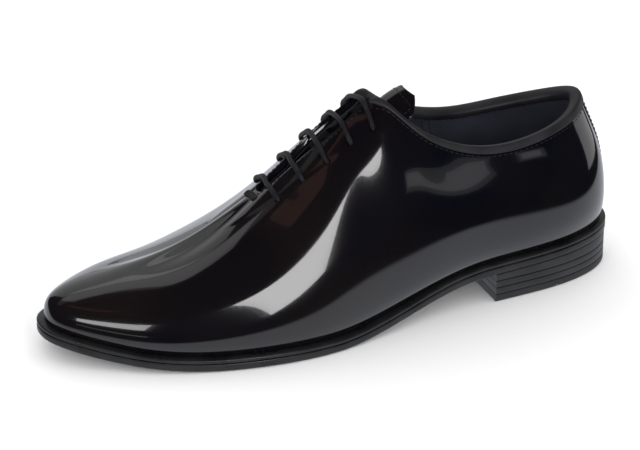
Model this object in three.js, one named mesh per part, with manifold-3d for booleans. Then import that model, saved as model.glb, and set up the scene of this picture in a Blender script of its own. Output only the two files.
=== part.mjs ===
// A left wholecut lace-up dress shoe, size EU 43, in millimetres.
// +X points to the toe, +Y to the outer side of the foot and +Z up. Every shape is first worked out from
// the back of the sole (x = 0), then the whole shoe is moved so that the frame's origin is the middle of
// its footprint on the ground.
import * as THREE from "three";
import { mergeVertices } from "three/addons/utils/BufferGeometryUtils.js";
import Module from "manifold-3d";

const wasm = await Module();
wasm.setup();

// ---- driving dimensions --------------------------------------------------------------------------
const LENGTH = 305; // sole, heel to toe
const BALL_WIDTH = 105; // sole, across the ball of the foot
const BACK_HEIGHT = 68; // upper, above the welt at the back seam
const HEEL_HEIGHT = 15.2; // heel block at its front face
const SEAT_RISE = 2.4; // how much higher the heel seat is at the back
const TOE_SPRING = 12; // sole under the toe, off the ground
const HEEL_FRONT = 76; // heel's front face, from the back of the sole
const ARCH_END = 170; // where the arch comes down to the ground
const TREAD_END = 222; // where the toe spring starts
const OUTSOLE = 3.8; // outsole thickness
const WELT = 2.1; // welt and filler thickness
const INSOLE = 2.6; // insole board thickness
const SOCK = 0.8; // heel sock thickness
const TOP_PIECE = 3.6; // last layer of the heel, on the ground
const LIFTS = 3; // stacked layers above the top piece
const WELT_PROUD = 3.6; // sole edge outside the upper, at the forepart
const SEAT_PROUD = 2.6; // sole edge outside the upper, round the heel
const WELT_IN = 8.7; // welt inside the upper's edge
const INSOLE_IN = 5.2; // insole edge inside the upper's edge
const GAP = 0.3; // clearance between pieces that touch
const LEATHER = 1.3; // upper
const STIFFENER = 1; // toe puff, counter and lacing stays
const LINING = 0.9; // lining
const FLEX_X = 205; // hinge line at the ball of the foot
const BAND_REAR = 197; // the band of leather that creases when the shoe bends
const BAND_FRONT = 232;
const LACE = 2.6; // lace diameter
const LACE_ROWS = 5;
const HOLE_ROOM = 1.6; // clearance of the lace in the upper's holes
const LACE_HOLE = LACE + HOLE_ROOM;
const LINING_HOLE = LACE_HOLE + 1.4; // the lining's holes are wider
const EYELET_INNER = LACE_HOLE - 0.2;
const EYELET_OUTER = EYELET_INNER + 2.2;
const EYELET_THICK = 0.5;
const TONGUE = 1.2; // tongue leather
const TONGUE_LINING = 0.7;
const TONGUE_UNDER = 7; // tongue below the lining at the edges of the lace opening
const TONGUE_ROOM = 7.6; // between the tongue's sides and the binding, at the widest
const TONGUE_HALF_ROOT = 8;
const BINDING = 1; // folded binding strip
const BINDING_REACH = 4; // how far it covers the topline
const FOLD_GAP = 0.5; // between its fold and the wall inside it
const STRIP_HALF = 4.5; // back strip half width
const NAIL = 2.2; // heel nail diameter
const NOTCH_X = 40; // groove across the top piece
const NOTCH = 1.7; // its side
const SHANK_LENGTH = 104;
const SHANK_WIDTH = 12;
const SHANK_THICK = 1.2;
const AGLET_LENGTH = 18;

const WALL = LEATHER + STIFFENER + LINING + 2 * GAP;
const SOLE_STACK = OUTSOLE + GAP + WELT;

// ---- the last: points that the outside of the upper passes through --------------------------------
// Each row is one line up the upper, from the welt to the top edge: first x and y on the welt, then
// x, y and the height above the welt. The rows go round from the toe by the outer side to the heel
// and back by the inner side. They are drawn for the sizes below.
const DRAWN = { length: 305, width: 105, back: 68 };
const LAST = [
  [[300.5, -1], [298.5, -1, 8.5], [288, -1.5, 15], [262, -2, 20.5], [228, -1.5, 29.5], [190.6, 0.3, 50.3]],
  [[295, 12], [293.5, 13.5, 7.5], [283, 12, 15.5], [259, 9, 22], [226, 6, 30.3], [190.2, 2.9, 52.3]],
  [[274, 27.5], [273.5, 29.5, 8], [264, 26, 19.5], [244, 19.5, 28], [216, 12, 40.5], [186.8, 5.6, 60]],
  [[248, 40.5], [247.5, 43, 9], [239, 38.5, 23.5], [223, 29.5, 36], [200, 17.5, 53], [177, 6.9, 71.6]],
  [[215, 49], [214, 51.5, 10], [208, 47, 27], [196, 37, 44.5], [181, 22, 65.5], [165.5, 8.6, 82.2]],
  [[183, 51.2], [182, 53.5, 11], [178, 50, 30], [170, 40.5, 53.5], [161, 25, 77], [153.8, 10.6, 90.8]],
  [[158, 47.7], [157, 50.5, 11], [154.5, 48.5, 31], [150, 40.5, 57], [145, 26, 84], [139.8, 10.4, 101.3]],
  [[133, 42], [132.5, 45.5, 9.5], [131, 45, 28.5], [130, 39.5, 53.5], [129.5, 29.5, 79.5], [129.5, 15, 99.3]],
  [[104, 36], [104, 40, 8], [104, 41, 25], [106, 37.5, 44], [109.5, 31, 63], [113, 24.5, 77.5]],
  [[72, 32.4], [71.5, 36, 10.5], [71.5, 36.5, 24.5], [74, 34.5, 37.5], [79, 30.5, 52], [83, 27, 61.5]],
  [[36, 28], [34, 31.5, 11.5], [34, 32, 24.5], [38, 30.5, 37.5], [46, 28, 51.5], [53, 25, 60.5]],
  [[11, 16.3], [9.6, 18, 11.5], [10.2, 18, 25.5], [14, 17.5, 40.5], [21, 16, 55], [27.5, 14.5, 64]],
  [[3.2, 0], [3, 0, 11.5], [3.6, 0, 25.5], [6.6, 0, 40.5], [12.4, 0, 55.5], [17.5, 0, 68]],
  [[11, -17], [9.6, -18, 11.5], [10.2, -18, 25.5], [14, -17.5, 40.5], [21, -16, 55], [27.5, -14.5, 64]],
  [[36, -29], [34, -32, 11.5], [34, -32, 24.5], [38, -30.5, 36.5], [46, -28, 49.5], [53, -25, 59]],
  [[72, -30], [71.5, -33.5, 10.5], [71.5, -35, 23.5], [74, -33, 36.5], [78, -30, 49.5], [82, -27, 59.5]],
  [[104, -25.5], [104, -30.5, 8], [104, -35.5, 24], [106, -34.5, 42], [109, -29.5, 58], [112, -23.5, 73.5]],
  [[133, -26.5], [132.5, -31.5, 9.5], [131, -37.5, 27.5], [130, -37, 49.5], [129.5, -27, 74.5], [129, -12, 94]],
  [[158, -32], [157, -36.5, 11], [154, -42, 30], [150, -38, 52], [145, -24.5, 76], [140, -7.5, 95.8]],
  [[183, -40.5], [182, -44, 10], [177, -46, 28], [170, -38, 46], [161, -23, 69.5], [152.5, -5.6, 90]],
  [[215, -48], [214, -50.5, 10], [207, -46, 24], [196, -36, 37.5], [181, -21, 57.5], [165, -3.6, 81.5]],
  [[248, -43.5], [247, -45.5, 9], [237, -40, 19], [222, -31, 28.5], [200, -18, 45.5], [177.5, -3, 70]],
  [[273, -32], [272, -33.5, 8.5], [262, -29, 17.5], [243, -22, 23.5], [216, -13.5, 35.5], [187, -3.2, 58.9]],
  [[294.5, -14], [293, -15.5, 7.5], [282, -14, 15], [258, -11, 20], [226, -7, 29.5], [190.2, -2.1, 51.8]],
];
const STATIONS = LAST.length;
const HEEL_STATION = STATIONS / 2;
const TOP = LAST[0].length - 1; // v at the top edge
const ROUND_STEP = 0.4; // grid of the leather shells, in stations
const UP_STEP = 0.625; // and in rows of the last
const BINDING_START = 6.8; // stations where the binding begins and ends
const alongScale = LENGTH / DRAWN.length;
const acrossScale = BALL_WIDTH / DRAWN.width;
const upScale = BACK_HEIGHT / DRAWN.back;

const smoothstep = (t) => t * t * (3 - 2 * t);

// Height of the underside of the sole above the ground, by the distance from its back.
function soleBottom(x) {
  if (x < HEEL_FRONT) return HEEL_HEIGHT + (SEAT_RISE * (HEEL_FRONT - x)) / HEEL_FRONT;
  if (x < ARCH_END) return HEEL_HEIGHT * (1 - smoothstep((x - HEEL_FRONT) / (ARCH_END - HEEL_FRONT)));
  if (x < TREAD_END) return 0;
  return TOE_SPRING * ((x - TREAD_END) / (LENGTH - TREAD_END)) ** 2;
}
const seat = (x) => soleBottom(x) + SOLE_STACK; // top of the welt

// ---- the outside of the upper as one smooth surface ------------------------------------------------
function lastPoint([x, y, height = 0], foot) {
  const lift = seat(foot[0] * alongScale) + GAP;
  return new THREE.Vector3(x * alongScale, y * acrossScale, lift + height * upScale);
}

const wrap = (i) => ((i % STATIONS) + STATIONS) % STATIONS;

// One line of points with the two beyond its ends that keep a cubic B-spline running to its ends.
function extended(line) {
  const beyond = (a, b) => a.clone().multiplyScalar(2).sub(b);
  return [beyond(line[0], line[1]), ...line, beyond(line[TOP], line[TOP - 1])];
}

const blend3 = (a, b, c) => a.clone().add(c).addScaledVector(b, 4).divideScalar(6);

// The B-spline's control points, corrected until the surface passes through the points of the last.
function controlNet() {
  const wanted = LAST.map((row) => row.map((point) => lastPoint(point, row[0])));
  const net = wanted.map((row) => row.map((point) => point.clone()));
  for (let round = 0; round < 200; round++) {
    const around = net.map((row, i) =>
      row.map((point, j) => blend3(net[wrap(i - 1)][j], point, net[wrap(i + 1)][j])),
    );
    const reached = around.map((row) => {
      const line = extended(row);
      return row.map((_, j) => blend3(line[j], line[j + 1], line[j + 2]));
    });
    net.forEach((row, i) => row.forEach((p, j) => p.add(wanted[i][j]).sub(reached[i][j])));
  }
  return net.map(extended);
}
const NET = controlNet();

const weights = (t) => [
  (1 - t) ** 3 / 6,
  (3 * t ** 3 - 6 * t ** 2 + 4) / 6,
  (-3 * t ** 3 + 3 * t ** 2 + 3 * t + 1) / 6,
  t ** 3 / 6,
];

// The surface's point: u counts stations round the shoe, v goes from 0 at the welt to TOP at the edge.
function skinPoint(u, v) {
  const i = Math.floor(u);
  const j = Math.min(Math.floor(v), TOP - 1);
  const wu = weights(u - i);
  const wv = weights(v - j);
  const point = new THREE.Vector3();
  wu.forEach((a, k) => wv.forEach((b, m) => point.addScaledVector(NET[wrap(i - 1 + k)][j + m], a * b)));
  return point;
}

// The point with its normal, which points away from the foot, and the way up along the surface.
function skin(u, v) {
  const step = 0.02;
  const low = Math.max(v - step, 0);
  const high = Math.min(v + step, TOP);
  const round = skinPoint(u + step, v).sub(skinPoint(u - step, v));
  const up = skinPoint(u, high).sub(skinPoint(u, low)).normalize();
  return { p: skinPoint(u, v), n: round.cross(up).normalize(), up };
}

const beneath = (s, depth) => s.p.clone().addScaledVector(s.n, -depth);

// The place on the upper above a point of the plan, found by Newton's method from the nearest of a
// coarse grid. Only the upper half of the surface is searched.
const SEARCH = [];
for (let u = 0; u < STATIONS; u += 0.25)
  for (let v = 2.5; v <= TOP; v += 0.125) SEARCH.push({ u, v, p: skinPoint(u, v) });
function skinAbove(x, y) {
  let [u, v] = [0, TOP];
  let nearest = Infinity;
  for (const s of SEARCH) {
    const away = Math.hypot(s.p.x - x, s.p.y - y);
    if (away < nearest) [nearest, u, v] = [away, s.u, s.v];
  }
  const step = 0.01;
  for (let round = 0; round < 8; round++) {
    const p = skinPoint(u, v);
    const pu = skinPoint(u + step, v).sub(p).divideScalar(step);
    const pv = p.clone().sub(skinPoint(u, v - step)).divideScalar(step);
    const cross = pu.x * pv.y - pu.y * pv.x;
    u += ((x - p.x) * pv.y - (y - p.y) * pv.x) / cross;
    v = Math.min(v + (pu.x * (y - p.y) - pu.y * (x - p.x)) / cross, TOP);
  }
  return { ...skin(u, v), u, v };
}

// ---- building closed meshes -------------------------------------------------------------------------
function fromFaces(vertices, faces) {
  const geometry = new THREE.BufferGeometry().setFromPoints(vertices);
  return geometry.setIndex(faces.flat()).toNonIndexed();
}

// A wall between two depths under a grid of surface points. grid[i][j] goes round, then up. A wall that
// closes round the shoe stands on the welt.
function sheet(grid, outerDepth, innerDepth, closed = false) {
  const [columns, rows] = [grid.length, grid[0].length];
  const vertices = [outerDepth, innerDepth].flatMap((depth) => grid.flat().map((s) => beneath(s, depth)));
  if (closed)
    vertices.forEach((p, k) => {
      if (k % rows === 0) p.z = seat(p.x) + GAP;
    });
  const at = (i, j, side) => side * columns * rows + (i % columns) * rows + j;
  const faces = [];
  const quad = (a, b, c, d) => faces.push([a, b, c], [a, c, d]);
  const spans = closed ? columns : columns - 1;
  for (let i = 0; i < spans; i++) {
    for (let j = 0; j < rows - 1; j++) {
      quad(at(i, j, 0), at(i + 1, j, 0), at(i + 1, j + 1, 0), at(i, j + 1, 0));
      quad(at(i, j, 1), at(i, j + 1, 1), at(i + 1, j + 1, 1), at(i + 1, j, 1));
    }
    const last = rows - 1;
    quad(at(i, 0, 0), at(i, 0, 1), at(i + 1, 0, 1), at(i + 1, 0, 0));
    quad(at(i, last, 0), at(i + 1, last, 0), at(i + 1, last, 1), at(i, last, 1));
  }
  if (!closed)
    for (let j = 0; j < rows - 1; j++) {
      const end = columns - 1;
      quad(at(0, j, 0), at(0, j + 1, 0), at(0, j + 1, 1), at(0, j, 1));
      quad(at(end, j, 0), at(end, j, 1), at(end, j + 1, 1), at(end, j + 1, 0));
    }
  return fromFaces(vertices, faces);
}

const steps = (from, to, count) => Array.from({ length: count + 1 }, (_, i) => from + ((to - from) * i) / count);

// A patch of the upper's surface between two stations and two heights.
const patch = (u0, u1, v0, v1) =>
  steps(u0, u1, Math.round((u1 - u0) / ROUND_STEP)).map((u) =>
    steps(v0, v1, Math.ceil((v1 - v0) / UP_STEP)).map((v) => skin(u, v)),
  );

// A section swept along the top edge. Each section point is [depth into the wall, height over the edge].
function edging(u0, u1, count, section) {
  const vertices = [];
  for (const u of steps(u0, u1, count)) {
    const s = skin(u, TOP);
    for (const [depth, height] of section) vertices.push(beneath(s, depth).addScaledVector(s.up, height));
  }
  const n = section.length;
  const faces = [];
  for (let i = 0; i < count; i++)
    for (let k = 0; k < n; k++) {
      const [a, b] = [i * n + k, i * n + ((k + 1) % n)];
      faces.push([a, b + n, a + n], [a, b, b + n]);
    }
  const outline = section.map(([x, y]) => new THREE.Vector2(x, y));
  const last = count * n;
  for (const [a, b, c] of THREE.ShapeUtils.triangulateShape(outline, [])) {
    faces.push([a, c, b], [last + a, last + b, last + c]);
  }
  return fromFaces(vertices, faces);
}

// ---- plates that follow the sole --------------------------------------------------------------------
const RIM = 96; // points round the sole's outline
const FEATHER = steps(0, STATIONS, RIM)
  .slice(0, RIM)
  .map((u) => {
    const s = skinPoint(u, 0);
    const along = skinPoint(u + 0.02, 0).sub(skinPoint(u - 0.02, 0)).setZ(0).normalize();
    return { x: s.x, y: s.y, nx: along.y, ny: -along.x };
  });
const outward = Math.sign(FEATHER[0].nx);

// How far the sole's edge stands out: less round the heel, more from the ball to the toe.
function proud(x) {
  const t = THREE.MathUtils.clamp((x - HEEL_FRONT) / (ARCH_END - HEEL_FRONT), 0, 1);
  return SEAT_PROUD + (WELT_PROUD - SEAT_PROUD) * smoothstep(t);
}
const outline = (offset) =>
  FEATHER.map(({ x, y, nx, ny }) => {
    const d = outward * offset(x);
    return { x: x + nx * d, y: y + ny * d };
  });

// A plate inside an outline, between two heights that follow x.
function plate(offset, low, high) {
  const rim = outline(offset);
  const vertices = [high, low].flatMap((z) => rim.map(({ x, y }) => new THREE.Vector3(x, y, z(x))));
  const faces = [];
  for (let i = 0; i < RIM; i++) {
    const next = (i + 1) % RIM;
    faces.push([i, RIM + i, RIM + next], [i, RIM + next, next]);
  }
  for (let i = 0; i < RIM / 2; i++) {
    const [a, b, c, d] = [i, i + 1, RIM - i - 1, (RIM - i) % RIM];
    if (b !== c) faces.push([a, b, c], [RIM + a, RIM + c, RIM + b]);
    if (a !== d) faces.push([a, c, d], [RIM + a, RIM + d, RIM + c]);
  }
  return fromFaces(vertices, faces);
}

// ---- cutting and joining ----------------------------------------------------------------------------
function solid(geometry) {
  const bare = geometry.index ? geometry.toNonIndexed() : geometry.clone();
  bare.deleteAttribute("normal");
  bare.deleteAttribute("uv");
  const merged = mergeVertices(bare, 1e-3);
  return new wasm.Manifold(
    new wasm.Mesh({
      numProp: 3,
      vertProperties: merged.attributes.position.array,
      triVerts: new Uint32Array(merged.index.array),
    }),
  );
}

function geometryOf(made) {
  const { vertProperties, triVerts } = made.getMesh();
  const geometry = new THREE.BufferGeometry();
  geometry.setAttribute("position", new THREE.BufferAttribute(vertProperties, 3));
  return geometry.setIndex(new THREE.BufferAttribute(triVerts, 1));
}

const FAR = 1000;
function slab(x0, x1) {
  return solid(new THREE.BoxGeometry(x1 - x0, FAR, FAR).translate((x0 + x1) / 2, 0, 0));
}
const between = (made, x0, x1) => made.intersect(slab(x0, x1));
const less = (made, ...tools) => tools.reduce((rest, tool) => rest.subtract(tool), made);

// A round bar through the wall of the upper, along its normal.
const UP = new THREE.Vector3(0, 1, 0);
function throughWall({ p, n }, diameter, sides = 8) {
  const bar = new THREE.CylinderGeometry(diameter / 2, diameter / 2, 4 * WALL, sides);
  bar.applyQuaternion(new THREE.Quaternion().setFromUnitVectors(UP, n));
  return solid(bar.translate(p.x, p.y, p.z));
}

// ---- the assembly -----------------------------------------------------------------------------------
const shoe = new THREE.Group();
const rearfoot = new THREE.Group();
const forefoot = new THREE.Group();
const heel = new THREE.Group();
const tongueGroup = new THREE.Group();
shoe.add(rearfoot, forefoot);
rearfoot.add(heel, tongueGroup);

const PATENT = { color: 0x07070a, roughness: 0.06, metalness: 0 };
const MATTE = { color: 0x1c1c20, roughness: 0.55, metalness: 0 };
const SOLE = { color: 0x101012, roughness: 0.42, metalness: 0 };
const NAVY = { color: 0x141722, roughness: 0.7, metalness: 0 };
const BOARD = { color: 0x8a6c48, roughness: 0.9, metalness: 0 };
const CORK = { color: 0x9c7443, roughness: 0.95, metalness: 0 };
const STEEL = { color: 0x9a9c9f, roughness: 0.35, metalness: 1 };
const CORD = { color: 0x18181b, roughness: 0.6, metalness: 0 };

function add(group, name, made, finish) {
  const geometry = made.isBufferGeometry ? made : geometryOf(made);
  const mesh = new THREE.Mesh(geometry, new THREE.MeshStandardMaterial(finish));
  mesh.name = name;
  group.add(mesh);
  return mesh;
}

// Lacing holes: the place of each on the plan, from the bottom of the opening to its top.
const HOLES_OUTER = [[186.5, 18], [174, 18.8], [161.8, 20.2], [149.5, 20.2], [138, 21]];
const HOLES_INNER = [[185, -15], [172.5, -15.5], [160.5, -16], [148.5, -16.5], [137.5, -17.5]];
const holesOf = (plan) => plan.map(([x, y]) => skinAbove(x * alongScale, y * acrossScale));
const outerHoles = holesOf(HOLES_OUTER);
const innerHoles = holesOf(HOLES_INNER);
const allHoles = [...outerHoles, ...innerHoles];

// Upper, one piece of leather, in three lengths: the toe, the band that creases and the quarters.
function buildUpper() {
  const whole = solid(sheet(patch(0, STATIONS, 0, TOP).slice(0, -1), 0, LEATHER, true));
  const holed = less(whole, ...allHoles.map((hole) => throughWall(hole, LACE_HOLE)));
  add(forefoot, "upper_toe", between(holed, BAND_FRONT + GAP, FAR), PATENT);
  add(rearfoot, "upper_flex", between(holed, BAND_REAR, BAND_FRONT), PATENT);
  add(rearfoot, "upper_quarters", between(holed, -FAR, BAND_REAR - GAP), PATENT);
}

// Lining, the same three lengths, inside the stiffeners.
function buildLining() {
  const whole = solid(sheet(patch(0, STATIONS, 0, TOP).slice(0, -1), WALL - LINING, WALL, true));
  const holed = less(whole, ...allHoles.map((hole) => throughWall(hole, LINING_HOLE)));
  add(forefoot, "lining_toe", between(holed, BAND_FRONT + GAP, FAR), NAVY);
  add(rearfoot, "lining_flex", between(holed, BAND_REAR, BAND_FRONT), NAVY);
  add(rearfoot, "lining_quarters", between(holed, -FAR, BAND_REAR - GAP), NAVY);
}

// Stiffeners between the upper and its lining.
function buildStiffeners() {
  const outer = LEATHER + GAP;
  const inner = outer + STIFFENER;
  const puff = solid(sheet(patch(-2.4, 2.4, UP_STEP, 5 * UP_STEP), outer, inner));
  add(forefoot, "toe_puff", between(puff, BAND_FRONT + 2, FAR), BOARD);
  add(rearfoot, "heel_counter", sheet(patch(9.2, 14.8, UP_STEP, 5 * UP_STEP), outer, inner), BOARD);
  const sides = [
    ["outer", 1, outerHoles],
    ["inner", -1, innerHoles],
  ];
  for (const [side, sign, holes] of sides) {
    const ends = sign > 0 ? [1.2, 6.8] : [STATIONS - 6.8, STATIONS - 1.2];
    const stay = solid(sheet(patch(...ends, 6 * UP_STEP, TOP - 0.1), outer, inner));
    const cut = less(stay, ...holes.map((hole) => throughWall(hole, EYELET_OUTER + 4 * GAP)));
    add(rearfoot, "facing_stay_" + side, between(cut, -FAR, BAND_REAR - 2 * GAP), BOARD);
  }
}

// Blind eyelets: thin rings between the stays' holes, the upper and the lining.
function buildEyelets() {
  const [inside, outside, half] = [EYELET_INNER / 2, EYELET_OUTER / 2, EYELET_THICK / 2];
  const profile = [[inside, -half], [outside, -half], [outside, half], [inside, half], [inside, -half]];
  const middle = LEATHER + GAP + STIFFENER / 2;
  const rows = [["outer", outerHoles], ["inner", innerHoles]];
  for (const [side, holes] of rows)
    holes.forEach((hole, i) => {
      const ring = new THREE.LatheGeometry(profile.map(([x, y]) => new THREE.Vector2(x, y)), 12);
      const eyelet = add(rearfoot, `eyelet_${side}_${i + 1}`, ring, STEEL);
      eyelet.position.copy(beneath(hole, middle));
      eyelet.quaternion.setFromUnitVectors(UP, hole.n);
    });
}

// Binding folded over the topline, from one lace edge round the heel to the other.
function buildBinding() {
  const [out, into] = [-FOLD_GAP - BINDING, WALL + FOLD_GAP + BINDING];
  const over = GAP + BINDING;
  const round = BINDING / 2;
  const section = [
    [out, -BINDING_REACH],
    [-FOLD_GAP, -BINDING_REACH],
    [-FOLD_GAP, GAP],
    [WALL + FOLD_GAP, GAP],
    [WALL + FOLD_GAP, -BINDING_REACH],
    [into, -BINDING_REACH],
    [into, over - round],
    [into - round, over],
    [out + round, over],
    [out, over - round],
  ];
  const [from, to] = [BINDING_START, STATIONS - BINDING_START];
  add(rearfoot, "topline_binding", edging(from, to, Math.round((to - from) / ROUND_STEP), section), MATTE);
}

// Strip over the back seam, from under the binding half way down.
function buildBackStrip() {
  const half = (STRIP_HALF * acrossScale) / skinPoint(HEEL_STATION - 1, 3).y;
  const grid = steps(HEEL_STATION - half, HEEL_STATION + half, 4).map((u) =>
    steps(2.1, 4.6, 5).map((v) => skin(u, v)),
  );
  add(rearfoot, "back_strip", sheet(grid, -GAP - BINDING, -GAP), PATENT);
}

// Short bar stitched across the bottom of the lace opening.
function buildThroatBar() {
  const throat = skinPoint(0, TOP);
  const grid = steps(-5.5, 5.5, 6).map((y) =>
    steps(throat.x + 4.6, throat.x + 1.6, 2).map((x) => skinAbove(x, y)),
  );
  add(rearfoot, "throat_bar", sheet(grid, -GAP - 1.1, -GAP), MATTE);
}

// Sole: outsole, welt, filler, shank, insole and heel sock, parted at the ball.
const shankMiddle = (HEEL_FRONT + ARCH_END) / 2 - 10;
function strip(x0, x1, half, low, high) {
  const bar = solid(plate(() => 0, low, high));
  const keep = new THREE.BoxGeometry(x1 - x0, 2 * half, FAR).translate((x0 + x1) / 2, 2, 0);
  return bar.intersect(solid(keep));
}
function buildSole(nailHoles) {
  const weltLow = (x) => soleBottom(x) + OUTSOLE + GAP;
  const insoleLow = (x) => seat(x) + GAP;
  const insoleHigh = (x) => insoleLow(x) + INSOLE;
  const pair = (made, front, rear, finish) => {
    add(forefoot, front, between(made, FLEX_X + GAP / 2, FAR), finish);
    add(rearfoot, rear, between(made, -FAR, FLEX_X - GAP / 2), finish);
  };
  const outsole = solid(plate(proud, soleBottom, (x) => soleBottom(x) + OUTSOLE));
  pair(less(outsole, ...nailHoles), "outsole_forepart", "outsole_waist", SOLE);
  const hollow = solid(plate(() => -WELT_IN, (x) => weltLow(x) - 1, (x) => seat(x) + 1));
  pair(solid(plate(proud, weltLow, seat)).subtract(hollow), "welt_forepart", "welt_rear", SOLE);
  const [x0, x1] = [shankMiddle - SHANK_LENGTH / 2, shankMiddle + SHANK_LENGTH / 2];
  const slot = strip(x0 - GAP, x1 + GAP, SHANK_WIDTH / 2 + GAP, (x) => weltLow(x) - 1, (x) => seat(x) + 1);
  const filler = solid(plate(() => -WELT_IN - GAP, weltLow, seat)).subtract(slot);
  pair(filler, "cork_filler", "waist_filler", CORK);
  const bed = (x) => weltLow(x) + (WELT - SHANK_THICK) / 2;
  add(rearfoot, "shank", strip(x0, x1, SHANK_WIDTH / 2, bed, (x) => bed(x) + SHANK_THICK), STEEL);
  const insole = solid(plate(() => -INSOLE_IN, insoleLow, insoleHigh));
  pair(insole, "insole_forepart", "insole_rear", BOARD);
  const sock = solid(plate(() => -INSOLE_IN - 1, (x) => insoleHigh(x) + GAP, (x) => insoleHigh(x) + GAP + SOCK));
  add(rearfoot, "heel_sock", between(sock, -FAR, HEEL_FRONT + 36), NAVY);
}

// Heel: the top piece on the ground with its groove, the lifts above it, and the nails.
const nailPlaces = [[18, 0], [34, 17], [34, -17], [60, 20], [60, -20]];
function nail(x, y, diameter, low, high) {
  const bar = new THREE.CylinderGeometry(diameter / 2, diameter / 2, high - low, 8);
  return bar.rotateX(Math.PI / 2).translate(x, y, (low + high) / 2);
}
function buildHeel() {
  const inset = (x) => proud(x) - 0.4;
  const layer = (HEEL_HEIGHT - TOP_PIECE - GAP) / LIFTS;
  const tip = (x) => soleBottom(x) + OUTSOLE / 2;
  const holes = nailPlaces.map(([x, y]) => solid(nail(x, y, NAIL + 2 * GAP, TOP_PIECE, tip(x) + GAP)));
  const groove = new THREE.BoxGeometry(NOTCH, FAR, NOTCH).rotateY(Math.PI / 4).translate(NOTCH_X, 0, 0);
  const topPiece = solid(plate(inset, () => 0, () => TOP_PIECE)).subtract(solid(groove));
  add(heel, "top_piece", between(topPiece, -FAR, HEEL_FRONT), SOLE);
  for (let i = 0; i < LIFTS; i++) {
    const low = TOP_PIECE + GAP + i * layer;
    const flat = () => low + layer - GAP;
    const high = i === LIFTS - 1 ? (x) => soleBottom(x) - GAP : flat;
    const lift = between(solid(plate(inset, () => low, high)), -FAR, HEEL_FRONT);
    add(heel, `heel_lift_${i + 1}`, less(lift, ...holes), SOLE);
  }
  nailPlaces.forEach(([x, y], i) => {
    add(heel, `heel_nail_${i + 1}`, nail(x, y, NAIL, TOP_PIECE + GAP, tip(x)), STEEL);
  });
  return holes;
}

// Tongue: it lies at a constant depth under the edges of the opening and runs out past their top.
function edgeMiddle(u) {
  return skinPoint(u, TOP).lerp(skinPoint(STATIONS - u, TOP), 0.5).setY(0);
}
const ROOF = 7; // half width of the rounded ridge of the tongue
const ROOF_TOP = 11; // and at its top edge
const ROUNDING = 0.65; // share of its length where it starts to widen
const SLOPE_OUTER = 1.15; // its fall to either side; the inner side of the instep is steeper
const SLOPE_INNER = 1.6;
// Half the space inside the binding, just past the facings.
const COLLAR_INNER = skinPoint(8, TOP).y - WALL - FOLD_GAP - BINDING;
function tongueGrid() {
  const halfRoot = TONGUE_HALF_ROOT * acrossScale;
  const halfTop = COLLAR_INNER - TONGUE_ROOM;
  const down = new THREE.Vector3(-0.66, 0, -0.75).multiplyScalar(WALL + TONGUE_UNDER);
  const under = [1.2, 2, 3, 4, 5, 5.8].map((u) => edgeMiddle(u).add(down));
  const end = under.at(-1);
  const beyond = ([x, z]) => end.clone().add(new THREE.Vector3(x * alongScale, 0, z * upScale));
  const past = [[-9, 6], [-17, 9.5], [-24, 11]].map(beyond);
  const ridge = new THREE.CatmullRomCurve3([...under, ...past], false, "centripetal");
  return steps(-1, 1, 8).map((t) =>
    steps(0, 1, 12).map((s) => {
      const p = ridge.getPointAt(s);
      const along = ridge.getTangentAt(s);
      const half = halfRoot + (halfTop - halfRoot) * Math.min(1, 1.6 * s);
      const y = t * half;
      const slope = y > 0 ? SLOPE_OUTER : SLOPE_INNER;
      const widening = smoothstep(Math.max(0, (s - ROUNDING) / (1 - ROUNDING)));
      const roof = acrossScale * (ROOF + (ROOF_TOP - ROOF) * widening);
      const drop = slope * (Math.hypot(y, roof) - roof);
      const square = new THREE.Vector3(-along.z, 0, along.x).multiplyScalar(along.x < 0 ? -1 : 1);
      p.addScaledVector(square, -drop).setY(y);
      const lean = (slope * y) / Math.hypot(y, roof);
      return { p, n: square.clone().setY(lean).normalize() };
    }),
  );
}
function buildTongue() {
  const grid = tongueGrid();
  add(tongueGroup, "tongue", sheet(grid, 0, TONGUE), PATENT);
  add(tongueGroup, "tongue_lining", sheet(grid, TONGUE + GAP, TONGUE + GAP + TONGUE_LINING), NAVY);
}

// Lace: up through one hole, straight over to the other side, down and along under the facing to the
// next pair. Both ends are tucked inside.
const LACE_OVER = LACE / 2 + 0.6; // middle of the lace above the leather
const LACE_UNDER = WALL + LACE / 2 + 0.8; // and below the upper's outside where it runs inside
function edgeAt(x, sign) {
  let best = skin(1, TOP);
  for (const u of steps(0.5, 7.5, 140)) {
    const s = skin(sign > 0 ? u : STATIONS - u, TOP);
    if (Math.abs(s.p.x - x) < Math.abs(best.p.x - x) || best.p.y * sign < 0) best = s;
  }
  return best;
}
const OVER_EDGE = new THREE.Vector3(0.55, 0, 0.83).multiplyScalar(LACE_OVER + 0.1);
function barPoints(from, to) {
  const climb = (hole) => {
    const edge = edgeAt(hole.p.x, Math.sign(hole.p.y)).p;
    const along = (t) => beneath(skinAbove(hole.p.x, edge.y + (hole.p.y - edge.y) * t), -LACE_OVER);
    return [beneath(hole, WALL + 0.9), beneath(hole, -0.1), along(0.72), along(0.38), edge.clone().add(OVER_EDGE)];
  };
  return [...climb(from), ...climb(to).reverse()];
}
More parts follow.
